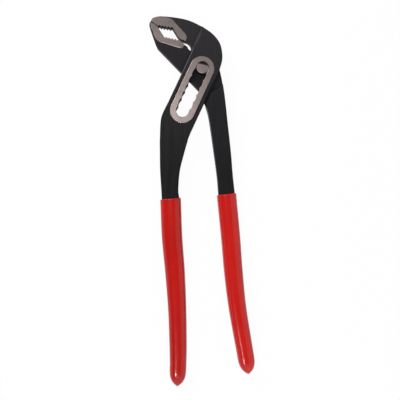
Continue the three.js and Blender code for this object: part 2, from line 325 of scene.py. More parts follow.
@dataclass(frozen=True)
class PaleFloor:
    """Plain floor that reads white to the camera and keeps a faint shadow."""

    name: str = "pale_floor"
    colour: Colour = (0.85, 0.85, 0.85)
    white_share: float = 0.96

    def material(self) -> bpy.types.Material:
        """White for camera, glossy and transmitted rays, with a share of lit floor left in.

        Returns:
            The material.
        """
        board = Board(self.name)
        ray = board.add("ShaderNodeLightPath").outputs
        seen = board.sums("ADD", ray["Is Camera Ray"], ray["Is Glossy Ray"])
        seen = board.sums("ADD", seen, ray["Is Transmission Ray"])
        share = board.sums("MULTIPLY", seen, self.white_share)
        lit = board.add("ShaderNodeBsdfDiffuse", {"Color": (*self.colour, 1)}).outputs[0]
        white = board.add("ShaderNodeEmission", {"Color": (1, 1, 1, 1), "Strength": 1.0}).outputs[0]
        mix = board.add("ShaderNodeMixShader", {0: share, 1: lit, 2: white})
        return board.finish(mix.outputs[0])


def length(vectors: np.ndarray) -> np.ndarray:
    """Lengths of vectors along the last axis."""
    return np.linalg.norm(vectors, axis=-1)


def direction(x: float, y: float) -> float:
    """Which way a vector points, in degrees, anticlockwise from +X."""
    return math.degrees(math.atan2(y, x))


def held(values: np.ndarray, count: int) -> np.ndarray:
    """Values followed by so many more copies of the last one."""
    return np.concatenate([values, np.repeat(values[-1:], count, axis=0)])


def polar(radius: float, angle: np.ndarray | float) -> np.ndarray:
    """Points at a radius and at angles in degrees, anticlockwise from +X."""
    turn = np.radians(angle)
    return radius * np.stack([np.cos(turn), np.sin(turn)], axis=-1)


def arc(centre: np.ndarray, radius: float, start: float, end: float, step: float = 4.0) -> np.ndarray:
    """Points of an arc from one angle to another, in degrees, both ends included."""
    count = max(2, math.ceil(abs(end - start) / step) + 1)
    return np.asarray(centre) + polar(radius, np.linspace(start, end, count))


def spline(points: Points | np.ndarray, steps: int = 48) -> np.ndarray:
    """Smooth curve through points.

    Between p1 and p2, with t from 0 to 1 and end slopes v1 = (p2 - p0) / 2 and v2 = (p3 - p1) / 2,
    the curve is p1 + v1 t + (3 (p2 - p1) - 2 v1 - v2) t^2 + (2 (p1 - p2) + v1 + v2) t^3.

    Args:
        points: the points that it passes through.
        steps: how many stretches it is divided into.

    Returns:
        The curve's points, one row each.
    """
    p = np.asarray(points, float)
    share = np.linspace(0, len(p) - 1, steps + 1)
    first = np.minimum(share.astype(int), len(p) - 2)
    t = (share - first)[:, None]
    p0, p1, p2, p3 = (p[np.clip(first + k, 0, len(p) - 1)] for k in (-1, 0, 1, 2))
    v1, v2 = (p2 - p0) / 2, (p3 - p1) / 2
    return p1 + v1 * t + (3 * (p2 - p1) - 2 * v1 - v2) * t**2 + (2 * (p1 - p2) + v1 + v2) * t**3


def sampled(curve: np.ndarray, share: np.ndarray) -> np.ndarray:
    """Points at shares of the way, 0 to 1, along a finely divided curve."""
    where = np.linspace(0, 1, len(curve))
    return np.stack([np.interp(share, where, column) for column in curve.T], axis=1)


def teeth(start: np.ndarray, end: np.ndarray, count: int, depth: float) -> np.ndarray:
    """Zigzag with its tips on a line and its valleys to the left of it.

    Args:
        start: the line's start, which is a tip.
        end: the line's end, which is a tip.
        count: how many valleys there are.
        depth: how deep a valley is.

    Returns:
        The zigzag's points.
    """
    along = end - start
    inward = np.array([-along[1], along[0]]) * depth / length(along)
    share = np.linspace(0, 1, 2 * count + 1)[:, None]
    valley = (np.arange(2 * count + 1) % 2)[:, None]
    return start + share * along + valley * inward


@dataclass(frozen=True)
class Run:
    """A stretch of an outline: its points, how far its corners are rounded, and its edge.

    The edge's fillet is so high and, times its spread, so wide. A bright edge takes a lighter finish of its
    own, a painted highlight.
    """

    points: Points | np.ndarray
    corner: float = 0.0
    fillet: float = 0.3
    spread: float = 1.0
    # a bright edge takes the lighter finish, a painted highlight
    bright: bool = False


@dataclass
class Outline:
    """A closed outline, anticlockwise, with the edge wanted at each point."""

    points: np.ndarray
    fillet: np.ndarray
    spread: np.ndarray
    bright: np.ndarray

    @classmethod
    def of(cls, *runs: Run, step: float = 1.0) -> "Outline":
        """Joins runs into a closed outline.

        A rounded corner p is the curve (1 - s)^2 a + 2 s (1 - s) p + s^2 b, with a and b on its two
        sides. Long sides are then divided, and a fillet stays smaller than the bend that it follows.

        Args:
            runs: the stretches, in order round the outline, either way round.
            step: the longest side that is left, in millimetres.

        Returns:
            The outline.
        """
        stretches = [np.asarray(r.points, float).reshape(-1, 2) for r in runs]
        points = np.vstack(stretches)
        wanted = [(r.corner, r.fillet, r.spread, r.bright) for r in runs]
        traits = np.repeat(np.asarray(wanted, float), [len(s) for s in stretches], axis=0)
        following = np.roll(points, -1, axis=0)
        if np.sum(points[:, 0] * following[:, 1] - points[:, 1] * following[:, 0]) < 0:
            points, traits = points[::-1], traits[::-1]
        points, traits = cls._rounded(points, traits[:, 0], traits[:, 1:])
        points, traits = cls._divided(points, traits, step)
        return cls(points, cls._eased(points, traits[:, 0]), traits[:, 1], traits[:, 2] > 0.5)

    @staticmethod
    def _rounded(
        points: np.ndarray, corner: np.ndarray, traits: np.ndarray
    ) -> tuple[np.ndarray, np.ndarray]:
        """Rounds the corners that ask for it.

        Args:
            points: the outline.
            corner: how far each point's rounding reaches along its sides.
            traits: what else each point carries.

        Returns:
            The new points, and what they carry.
        """
        steps, most = 5, 0.45  # points of a corner, and its share of a side
        before = np.roll(points, 1, axis=0) - points
        after = np.roll(points, -1, axis=0) - points
        reach = np.minimum(corner, most * np.minimum(length(before), length(after)))[:, None]
        a = points + reach * before / np.maximum(length(before), 1e-9)[:, None]
        b = points + reach * after / np.maximum(length(after), 1e-9)[:, None]
        s = np.linspace(0, 1, steps)[None, :, None]
        curve = (1 - s) ** 2 * a[:, None] + 2 * s * (1 - s) * points[:, None] + s**2 * b[:, None]
        keep = np.ones((len(points), steps), bool)
        keep[reach[:, 0] == 0, 1:] = False
        return curve[keep], np.repeat(traits[:, None], steps, axis=1)[keep]

    @staticmethod
    def _divided(points: np.ndarray, traits: np.ndarray, step: float) -> tuple[np.ndarray, np.ndarray]:
        """Adds points along long sides and drops points that lie on top of each other.

        Args:
            points: the outline.
            traits: what each point carries.
            step: the way between added points.

        Returns:
            The new points, and what they carry.
        """
        least, apart = 0.03, 0.4 * step  # between old points, and from an added one to an old one
        ring = np.vstack([points, points[:1]])
        carried = np.vstack([traits, traits[:1]])
        far = np.concatenate([[0.0], np.cumsum(length(np.diff(ring, axis=0)))])
        extra = np.arange(step, far[-1], step)
        after = np.searchsorted(far, extra)
        clear = np.minimum(extra - far[after - 1], far[after] - extra)
        kept = far[:-1][np.concatenate([[True], np.diff(far[:-1]) > least]) & (far[:-1] < far[-1] - least)]
        where = np.union1d(kept, extra[clear > apart])
        both = np.hstack([ring, carried])
        spaced = np.stack([np.interp(where, far, column) for column in both.T], axis=1)
        return spaced[:, :2], spaced[:, 2:]

    @staticmethod
    def _eased(points: np.ndarray, fillet: np.ndarray) -> np.ndarray:
        """Keeps each fillet below the bend's radius, and lets it change only gradually.

        A fillet is at most any other one plus a share of the way along the outline between them.

        Args:
            points: the outline.
            fillet: the fillet wanted at each point.

        Returns:
            The fillet that each point gets.
        """
        of_bend, of_way = 0.8, 0.35  # shares
        before = points - np.roll(points, 1, axis=0)
        after = np.roll(points, -1, axis=0) - points
        turn = np.arctan2(
            before[:, 0] * after[:, 1] - before[:, 1] * after[:, 0], np.sum(before * after, axis=1)
        )
        side = np.minimum(length(before), length(after))
        bend = side / (2 * np.tan(np.maximum(turn, 1e-4) / 2))
        limit = np.minimum(fillet, of_bend * bend)
        far = np.cumsum(length(after))
        apart = np.abs(far[:, None] - far[None])
        apart = np.minimum(apart, far[-1] - apart)
        return np.min(limit[None] + of_way * apart, axis=1)

    def inward(self) -> np.ndarray:
        """Step at each point that moves both of its sides inward by one millimetre.

        With n1 and n2 the inward normals of the two sides, the step is 2 (n1 + n2) / |n1 + n2|^2.

        Returns:
            The steps, one row for each point.
        """
        after = np.roll(self.points, -1, axis=0) - self.points
        normal = np.stack([-after[:, 1], after[:, 0]], axis=1) / length(after)[:, None]
        both = normal + np.roll(normal, 1, axis=0)
        return 2 * both / np.maximum(np.sum(both**2, axis=1), 0.5)[:, None]

    def rows(self, inset: np.ndarray, height: np.ndarray) -> np.ndarray:
        """Carries a profile round the outline.

        Row j, column i is the outline's point i moved inward by inset[j, i], at height[j, i].

        Args:
            inset: how far each row lies inside the outline, (rows, points) or (rows, 1).
            height: each row's height, of the same shape.

        Returns:
            Points, (rows, points, 3).
        """
        flat = self.points[None] + inset[..., None] * self.inward()[None]
        level = np.broadcast_to(height, flat.shape[:2])
        return np.concatenate([flat, level[..., None]], axis=2)


@dataclass
class Solid:
    """A closed mesh in millimetres: points, faces, and each face's finish."""

    points: np.ndarray
    faces: list[list[int]]
    marks: np.ndarray

    @classmethod
    def of_rows(
        cls, rows: np.ndarray, strips: Sequence[int | np.ndarray], ends: tuple[int, int]
    ) -> "Solid":
        """Closes a grid of points into a solid.

        Args:
            rows: (rows, points, 3), each row a closed loop, outward on the right of its direction.
            strips: the finish of each strip between two rows, or one for each of its faces.
            ends: the finish of the first and the last cap.

        Returns:
            The solid.
        """
        count, around = rows.shape[:2]
        here = np.arange((count - 1) * around).reshape(count - 1, around)
        beside = np.roll(here, -1, axis=1)
        sides = np.stack([here, beside, beside + around, here + around], axis=-1).reshape(-1, 4)
        first = np.arange(around)[::-1].tolist()
        last = (np.arange(around) + (count - 1) * around).tolist()
        marks = np.concatenate([np.broadcast_to(strip, around) for strip in strips] + [np.asarray(ends)])
        return cls(rows.reshape(-1, 3), [*sides.tolist(), first, last], marks.astype(np.int32))

    def mesh(self, name: str, finishes: Finishes, at: np.ndarray) -> bpy.types.Mesh:
        """The solid as a mesh, in metres, in the shared frame.

        Args:
            name: the mesh's name.
            finishes: the finishes that the marks stand for.
            at: where the solid's origin lies, in metres.

        Returns:
            The mesh.
        """
        mesh = bpy.data.meshes.new(name)
        mesh.from_pydata((self.points * MM + at).tolist(), [], self.faces)
        for finish in finishes:
            mesh.materials.append(finish)
        mesh.polygons.foreach_set("material_index", self.marks)
        mesh.update()
        return mesh


def plate(outline: Outline, half: float, face: Mark, edge: Mark, wall: Mark, steps: int = 5) -> Solid:
    """Flat piece with filleted edges, centred on the middle plane.

    With r the fillet, w its spread and u from 0 to 90 degrees, the profile is inset w r (1 - cos u) at
    height half - r + r sin u, and the same below.

    Args:
        outline: the piece seen from above.
        half: half its thickness.
        face: finish of its flat faces.
        edge: finish of its fillets, but for the bright ones, which take the lighter finish of a painted
            highlight.
        wall: finish of its sides.
        steps: strips in a fillet.

    Returns:
        The solid.
    """
    turn = np.linspace(0, np.pi / 2, steps + 1)[:, None]
    radius = outline.fillet[None]
    inset = outline.spread * radius * (1 - np.cos(turn))
    height = half - radius + radius * np.sin(turn)
    rows = outline.rows(np.vstack([inset[::-1], inset]), np.vstack([-height[::-1], height]))
    # bright fillets take the lighter finish: a painted highlight
    fillet = [np.where(outline.bright, Mark.EDGE, edge)] * steps
    return Solid.of_rows(rows, [*fillet, wall, *fillet], (face, face))


def hole(outline: Outline, half: float, flare: float, edge: Mark, wall: Mark, steps: int = 4) -> Solid:
    """Cutter whose ends flare out, so that the hole's rims come out rounded.

    The flare is the quarter circle inset -flare (1 - cos u) at height half - flare + flare sin u.

    Args:
        outline: the hole seen from above.
        half: height of the faces that it opens in, from the middle plane.
        flare: radius of the rounding of its rims.
        edge: finish of the rims.
        wall: finish of the sides.
        steps: strips in a rim.

    Returns:
        The cutter, reaching past both faces.
    """
    past = 2.0
    turn = np.linspace(0, np.pi / 2, steps + 1)[:, None]
    inset = np.vstack([-flare * (1 - np.cos(turn)), [[-flare]]])
    height = np.vstack([half - flare + flare * np.sin(turn), [[half + past]]])
    rows = outline.rows(np.vstack([inset[::-1], inset]), np.vstack([-height[::-1], height]))
    strips = [edge] * (steps + 1) + [wall] + [edge] * (steps + 1)
    return Solid.of_rows(rows, strips, (wall, wall))


@dataclass(frozen=True)
class Joint:
    """The tool's joint in the shared frame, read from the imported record."""

    pin: np.ndarray  # metres
    up: np.ndarray  # unit vector along the slot, towards the jaws
    travel: float  # mm

    @classmethod
    def read(cls, joints: list[dict[str, Any]]) -> "Joint":
        """Takes the pin's axis from the hinge, and the slot from the slide.

        Args:
            joints: the frame's joints.

        Returns:
            The joint.
        """
        named = {j["name"]: j for j in joints}
        hinge, slide = named["jaw_hinge"], named["notch_slide"]
        up = -np.asarray(slide["axis"][:2], float)
        return cls(np.asarray(hinge["pos_m"], float), up / length(up), slide["range_m"][1] / MM)

    def on_slot(self, across: float | np.ndarray, along: float | np.ndarray) -> np.ndarray:
        """A point given across the slot, to the right, and along it, towards the jaws."""
        sideways = np.array([self.up[1], -self.up[0]])
        return np.multiply.outer(across, sideways) + np.multiply.outer(along, self.up)

    @property
    def heading(self) -> float:
        """The slot's direction across, to the right, in degrees."""
        return direction(self.up[1], -self.up[0])


@dataclass
class Handle:
    """A handle between two edges, from the box to its pointed end."""

    left: Points
    right: Points
    mouth: float  # y of the grip's mouth
    thick: float = 6.3  # half thickness at the box
    thin: float = 5.3  # half thickness of the tang
    box_corner: float = 0.8
    tang_corner: float = 2.6
    ease_from: float = 0.1
    tip: float = 17.5
    tip_power: float = 4.0
    tip_share: float = 0.979  # of the tip's full length
    tip_steps: int = 25
    tip_blunt: float = 0.004  # share of the section left at the very end
    fine: int = 4000  # divisions of the edges

    def edges(self, share: np.ndarray) -> tuple[np.ndarray, np.ndarray, np.ndarray]:
        """The handle's section at shares of the way.

        Args:
            share: the shares, 0 at the box to 1 where the pointed end starts.

        Returns:
            Middle (n, 2), unit direction across (n, 2) and half the width (n,).
        """
        left, right = (sampled(spline(side, self.fine), share) for side in (self.left, self.right))
        width = length(right - left)
        return (left + right) / 2, (right - left) / width[:, None], width / 2

    def share_at(self, y: float) -> float:
        """Share of the way at which the handle's middle has that y."""
        share = np.linspace(0, 1, self.fine + 1)
        return float(np.interp(-y, -self.edges(share)[0][:, 1], share))

    def ease(self, share: np.ndarray) -> np.ndarray:
        """Smooth step from the box, 0, to the grip's mouth, 1."""
        t = np.clip((share - self.ease_from) / (self.share_at(self.mouth) - self.ease_from), 0, 1)
        return t * t * (3 - 2 * t)

    def stations(self, start: float, margin: float, count: int) -> tuple[np.ndarray, ...]:
        """Stations along the handle, grown by a margin, with the pointed end.

        The end's taper is 1 - s^p of the full section, with s from 0 to 1 along it.

        Args:
            start: share of the way at which they begin.
            margin: how far they lie outside the steel.
            count: stations before the pointed end.

        Returns:
            Middle (n, 2), across (n, 2), half width (n,), half height (n,), and taper (n,).
        """
        share = np.linspace(start, 1, count)
        middle, across, half = self.edges(share)
        height = self.thick + (self.thin - self.thick) * self.ease(share)
        s = np.sin(np.linspace(0, np.pi / 2, self.tip_steps + 1)[1:])
        onward = np.array([across[-1, 1], -across[-1, 0]])
        ends = middle[-1] + np.outer(s * (self.tip + margin) * self.tip_share, onward)
        taper = np.concatenate([np.ones(count), np.maximum(1 - s**self.tip_power, self.tip_blunt)])
        section = (held(values, len(s)) for values in (across, half + margin, height + margin))
        return np.vstack([middle, ends]), *section, taper

    def shank(self) -> Solid:
        """Steel shank and tang: rounded rectangles carried from the box to the tip.

        Returns:
            The shank.
        """
        count, steps = 90, 7  # stations, and points of a corner
        middle, across, half, height, taper = self.stations(0.0, 0.0, count)
        share = held(np.linspace(0, 1, count), self.tip_steps)
        corner = self.box_corner + (self.tang_corner - self.box_corner) * self.ease(share)
        turn = np.linspace(0, 90, steps)[None] + np.array([0, 90, 180, 270])[:, None]
        round_part = polar(1.0, turn.ravel())
        square_part = np.repeat(np.array([[1, 1], [-1, 1], [-1, -1], [1, -1]]), steps, axis=0)
        room = np.stack([half - corner, height - corner], axis=1)
        section = taper[:, None, None] * (
            corner[:, None, None] * round_part[None] + room[:, None, :] * square_part[None]
        )
        return self._carried(middle, across, section)

    def sleeve(self, wall: float, gap: float, squareness: float) -> Solid:
        """Dipped grip over the tang, hollow, with a rounded lip at its mouth.

        A section is |x / a|^n + |z / b|^n = 1. The wall's inside is followed from the tip to the
        mouth's lip, a half ellipse, and then its outside back to the tip.

        Args:
            wall: thickness of the wall.
            gap: clearance between the wall and the tang.
            squareness: the exponent n.

        Returns:
            The sleeve.
        """
        count, lip_steps, around = 110, 8, 64
        lip_share = 0.6  # of the wall, by which the lip stands out
        start = self.share_at(self.mouth)
        angle = np.linspace(0, 2 * np.pi, around, endpoint=False)
        power = 2 / squareness
        loop = np.stack([
            np.sign(np.cos(angle)) * np.abs(np.cos(angle)) ** power,
            np.sign(np.sin(angle)) * np.abs(np.sin(angle)) ** power,
        ], axis=1)

        def skin(margin: float) -> tuple[np.ndarray, np.ndarray, np.ndarray]:
            """One skin of the wall, from the mouth to the tip.

            Args:
                margin: how far it lies outside the steel.

            Returns:
                Middles, directions across and sections.
            """
            middle, across, half, height, taper = self.stations(start, margin, count)
            size = np.stack([half, height], axis=1) * taper[:, None]
            return middle, across, size[:, None, :] * loop[None]

        outer, inner = skin(gap + wall), skin(gap)
        turn = np.linspace(np.pi, 0, lip_steps + 2)[1:-1]
        back = -np.array([outer[1][0, 1], -outer[1][0, 0]])
        middle_size = (outer[2][0] + inner[2][0]) / 2
        half_wall = (outer[2][0] - inner[2][0]) / 2
        lip_middle = outer[0][0] + np.outer(np.sin(turn) * wall * lip_share, back)
        lip_section = middle_size[None] + np.cos(turn)[:, None, None] * half_wall[None]
        middle = np.vstack([inner[0][::-1], lip_middle, outer[0]])
        across = np.vstack([inner[1][::-1], np.repeat(outer[1][:1], lip_steps, axis=0), outer[1]])
        section = np.concatenate([inner[2][::-1], lip_section, outer[2]])
        return self._carried(middle, across, section)

    @staticmethod
    def _carried(middle: np.ndarray, across: np.ndarray, section: np.ndarray) -> Solid:
        """Carries sections along a line and closes them into a solid.

        Args:
            middle: the line, one point for each station.
            across: unit direction across at each station.
            section: (stations, points, across and up).

        Returns:
            The solid.
        """
        flat = middle[:, None] + section[..., :1] * across[:, None]
        rows = np.concatenate([flat, section[..., 1:]], axis=2)
        strips = [Mark.BLACK] * (len(rows) - 1)
        return Solid.of_rows(rows, strips, (Mark.BLACK, Mark.BLACK))


OUTER_HANDLE = Handle(
    left=((-32.3, -44.8), (-34.2, -55.4), (-34.3, -69.2), (-34.1, -83), (-33.1, -99.9), (-32.7, -108.8),
          (-31.5, -137.1), (-28.7, -166.6), (-26.4, -196), (-25.3, -225), (-25, -240)),
    right=((-8.6, -44.8), (-11, -55.4), (-14.8, -69.2), (-18.1, -83), (-19.3, -98.4), (-18.4, -107.4),
           (-17.4, -135.3), (-15.3, -164.6), (-14.1, -194.2), (-13.7, -224), (-14, -240.4)),
    mouth=-106.0,
)
INNER_HANDLE = Handle(
    left=((-4.5, -5.7), (-0.4, -19.9), (3.3, -30.8), (5.8, -41.2), (9.6, -67.9), (12.2, -87.8),
          (13.6, -104.8), (16.8, -137), (19.4, -166.4), (23.2, -196), (29.6, -231.4)),
    right=((15.8, -8.1), (17.6, -19.4), (19.2, -32.1), (20.3, -41.9), (23.2, -67.3), (24.9, -86.8),
           (26.7, -103.2), (29.7, -135.4), (31.9, -164.8), (34.8, -193.9), (40.5, -229.6)),
    mouth=-102.3,
)


def placed(name: str, data: bpy.types.ID) -> bpy.types.Object:
    """A mesh, lamp or camera as an object of the scene, at the origin.

    Args:
        name: the object's name.
        data: the mesh, lamp or camera.

    Returns:
        The object.
    """
    thing = bpy.data.objects.new(name, data)
    bpy.context.scene.collection.objects.link(thing)
    return thing


def assembled(
    name: str, base: Solid, parts: list[tuple[Cut, Solid]], joint: Joint, finishes: Finishes
) -> bpy.types.Object:
    """Joins and cuts solids, in order, into one closed piece.

    Args:
        name: the piece's name.
        base: the first solid.
        parts: the rest, each with how it is put together with what is there.
        joint: where the tool's middle lies in the shared frame.
        finishes: the finishes that the solids' marks stand for.

    Returns:
        The piece.
    """
    sharp = 32  # degrees between faces
    first = placed(name + "_base", base.mesh(name + "_base", finishes, joint.pin))
    helpers = [first]
    for number, (cut, solid) in enumerate(parts):
        label = f"{name}_step_{number}"
        helpers.append(placed(label, solid.mesh(label, finishes, joint.pin)))
        step = first.modifiers.new(label, "BOOLEAN")
        step.operation = cut.value
        step.solver = "EXACT"
        step.material_mode = "INDEX"
        step.object = helpers[-1]
    view = bpy.context.evaluated_depsgraph_get()
    mesh = bpy.data.meshes.new_from_object(first.evaluated_get(view))
    mesh.name = name
    for helper in helpers:
        bpy.data.objects.remove(helper)
    piece = placed(name, mesh)
    mesh.shade_smooth()
    mesh.set_sharp_from_angle(angle=math.radians(sharp))
    even = piece.modifiers.new("even_shading", "WEIGHTED_NORMAL")
    even.keep_sharp = True
    even.weight = 100
    return piece


def settle(piece: bpy.types.Object, node: str, body: str) -> bpy.types.Object:
    """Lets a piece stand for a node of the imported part.

    Args:
        piece: the piece.
        node: the node that it stands for.
        body: the body that it rides on.

    Returns:
        The piece.
    """
    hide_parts(node)
    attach(piece, body)
    LOG.info("%s stands for %s: %d faces", piece.name, node, len(piece.data.polygons))
    return piece


@dataclass
class Lever:
    """What the two levers share: where their jaws meet, their teeth and their bright pads."""

    joint: Joint
    handle: Handle
    pad_half: float = 3.9
    tip: Point = (-42, 38.6)
    contact_end: Point = (-35.8, 34.4)
    tooth_count: int = 5
    tooth_depth: float = 1.2
    tooth_corner: float = 0.12
    mouth_fillet: float = 0.15
    pad_step: float = 0.8  # longest side of the jaws' outlines

    def tooth_row(self, start: Point, end: Point) -> np.ndarray:
        """The zigzag from one tooth's tip to another."""
        return teeth(np.array(start), np.array(end), self.tooth_count, self.tooth_depth)


@dataclass
class OuterLever(Lever):
    """Upper jaw, head, slotted cheeks and left handle, in one forging."""

    cheek_half: float = 6.3
    ring_half: float = 6.7
    channel_half: float = 3.8
    cheek_side: float = 13.25
    cheek_ends: tuple[float, float, float, float] = (4.7, 9.9, -36.2, -49.5)  # along the slot
    jaw_half: float = 3.6
    slot_half: float = 4.85
    slot_flare: float = 0.22  # rounding of the slot's rims
    end_radius: float = 5.1
    notch_pitch: float = 6.35
    notch_depth: float = 0.75
    notch_steps: int = 12
    ring_radius: float = 9.82  # at the upper end
    ring_flare: float = 0.25  # more at the lower end
    ring_drop: float = 0.76
    crown: Points = ((16, 6), (16.1, 11.9), (14.9, 18.1), (12.4, 22.9), (8.2, 27.6), (4.1, 30.7))
    crease: Points = ((-0.2, 33.3), (-4.9, 25.1), (-7.1, 19.2))
    cheek_corner: Points = ((-32.4, -37.7), (-33.8, -44.9))
    head_root: Points = ((2.2, 16.2), (3.2, 30.8))
    jaw_root: Point = (0.9, 33.6)
    jaw_back: Points = ((-7.8, 38), (-15, 40.3), (-24, 41.8), (-33.5, 42.45), (-40.4, 40.9))
    teeth_end: Point = (-23.5, 32.3)
    flank_end: Point = (-18.5, 24.3)
    throat: Points = ((-13.6, 22.2), (-12.3, 21.9), (-10.7, 20.7), (-9.6, 19.2), (-9, 17.4), (-8.9, 16.2))
    pad_back: Points = ((-12.3, 25.2), (-13.3, 27.6), (-23.9, 39.4), (-25.7, 40.6))
    pad_nose: float = -33.0  # x at which the pad's edge meets the jaw's back
    pad_fillet: float = 0.25
    crease_fillet: float = 2.4
    crease_spread: float = 1.6
    lit_edge: float = 22.0  # length of the cheek's edge that takes the lighter finish, a painted highlight
    crown_fillet: float = 1.3
    cheek_fillet: float = 0.5
    back_fillet: float = 1.0
    nose_fillet: float = 0.35
    ring_fillet: float = 0.3

    def back_curve(self) -> np.ndarray:
        """The upper jaw's back, from the crease to the nose."""
        return spline([self.jaw_root, *self.jaw_back], steps=60)

    def mouth(self) -> list[Run]:
        """The upper jaw's mouth, from the nose to the throat.

        Returns:
            The runs.
        """
        return [
            Run([self.tip], corner=0.7, fillet=self.nose_fillet),
            Run(self.tooth_row(self.contact_end, self.teeth_end), self.tooth_corner, self.mouth_fillet),
            Run([self.flank_end], corner=0.8, fillet=self.mouth_fillet),
        ]

    def box(self) -> Solid:
        """Head and cheeks, with a ramp where the head steps down to the jaw.

        Returns:
            The solid.
        """
        on = self.joint.on_slot
        side = self.cheek_side
        right_start, left_start, left_end, right_end = self.cheek_ends
        crown = spline([on(side, right_start), *self.crown, self.crease[0]], steps=60)
        left_curve = spline([on(-side, left_end), *self.cheek_corner, self.handle.left[1]], steps=24)
        outline = Outline.of(
            Run(crown, fillet=self.crown_fillet),
            Run(self.crease[1:], fillet=self.crease_fillet, spread=self.crease_spread, corner=2.0),
            # the cheek's left edge takes the lighter finish, a painted highlight
            Run([on(-side, left_start), on(-side, left_start - self.lit_edge)], fillet=self.cheek_fillet,
                corner=2.0, bright=True),
            Run(left_curve, fillet=self.cheek_fillet),
            Run([self.handle.right[1], on(side, right_end)], fillet=self.cheek_fillet),
        )
        return plate(outline, self.cheek_half, Mark.BLACK, Mark.BLACK, Mark.WALL)

    def jaw(self) -> Solid:
        """Black upper jaw.

        Returns:
            The solid.
        """
        outline = Outline.of(
            Run(self.head_root, fillet=self.mouth_fillet),
            Run(self.back_curve(), fillet=self.back_fillet),
            *self.mouth(),
            Run(self.throat, corner=1.2, fillet=self.mouth_fillet),
            step=self.pad_step,
        )
        return plate(outline, self.jaw_half, Mark.BLACK, Mark.BLACK, Mark.WALL)

    def pad(self) -> Solid:
        """Bright ground face of the upper jaw.

        Returns:
            The solid.
        """
        back = self.back_curve()
        outline = Outline.of(
            Run(self.pad_back, corner=0.7, fillet=self.pad_fillet),
            Run(back[back[:, 0] < self.pad_nose], fillet=self.nose_fillet),
            *self.mouth(),
            Run(self.throat[:1], corner=0.6, fillet=self.pad_fillet),
            step=self.pad_step,
        )
        return plate(outline, self.pad_half, Mark.GROUND, Mark.GROUND, Mark.WALL)

    def ring(self) -> Solid:
        """Bright raised ring round the slot.

        Returns:
            The solid.
        """
        on, turn = self.joint.on_slot, self.joint.heading
        lower = self.ring_radius + self.ring_flare
        outline = Outline.of(
            Run(arc(on(0.0, -self.ring_drop), self.ring_radius, turn, turn + 180), fillet=self.ring_fillet),
            Run(arc(on(0.0, -self.joint.travel), lower, turn + 180, turn + 360), fillet=self.ring_fillet),
        )
        return plate(outline, self.ring_half, Mark.GROUND, Mark.GROUND, Mark.WALL)

    def slot(self) -> Solid:
        """Cutter of the slot: shallow arcs on each side, between two round ends.

        A notch of depth d and pitch p is an arc of radius (p^2 / 4 + d^2) / (2 d).

        Returns:
            The cutter.
        """
        pitch, depth = self.notch_pitch, self.notch_depth
        bulge = (pitch**2 / 4 + depth**2) / (2 * depth)
        count = round(self.joint.travel / pitch)
        share = np.linspace(0.5, count - 0.5, self.notch_steps * (count - 1) + 1)
        off = (share - np.floor(share + 0.5 - 1e-9)) * pitch
        scallop = np.sqrt(np.maximum(bulge**2 - off**2, 0)) - bulge + depth
        on, turn = self.joint.on_slot, self.joint.heading
        right = on(self.slot_half + scallop, -share * pitch)
        left = on(-self.slot_half - scallop, -share * pitch)
        outline = Outline.of(
            Run(right[::-1]),
            Run(arc(np.zeros(2), self.end_radius, turn, turn + 180)),
            Run(left),
            Run(arc(on(0.0, -self.joint.travel), self.end_radius, turn + 180, turn + 360)),
            step=0.6,
        )
        return hole(outline, self.ring_half, self.slot_flare, Mark.GROUND, Mark.WALL)

    def channel(self, tongue: "InnerLever") -> Solid:
        """Cutter of the passage that the tongue swings and slides in, open to both sides.

        Args:
            tongue: the lever that moves in it.

        Returns:
            The cutter.
        """
        outline = Outline.of(Run(tongue.passage()), step=5.0)
        rows = outline.rows(np.zeros((2, 1)), np.array([[-self.channel_half], [self.channel_half]]))
        return Solid.of_rows(rows, [Mark.WALL], (Mark.WALL, Mark.WALL))

    def build(self, tongue: "InnerLever", finishes: Finishes) -> bpy.types.Object:
        """Joins the forging's solids and cuts the slot and the passage.

        Args:
            tongue: the lever that moves in the passage.
            finishes: the finishes that the marks stand for.

        Returns:
            The piece.
        """
        parts = [
            (Cut.JOIN, self.handle.shank()),
            (Cut.JOIN, self.jaw()),
            (Cut.JOIN, self.pad()),
            (Cut.JOIN, self.ring()),
            (Cut.CUT, self.slot()),
            (Cut.CUT, self.channel(tongue)),
        ]
        piece = assembled("outer_lever_forging", self.box(), parts, self.joint, finishes)
        return settle(piece, "outer_lever", "outer")


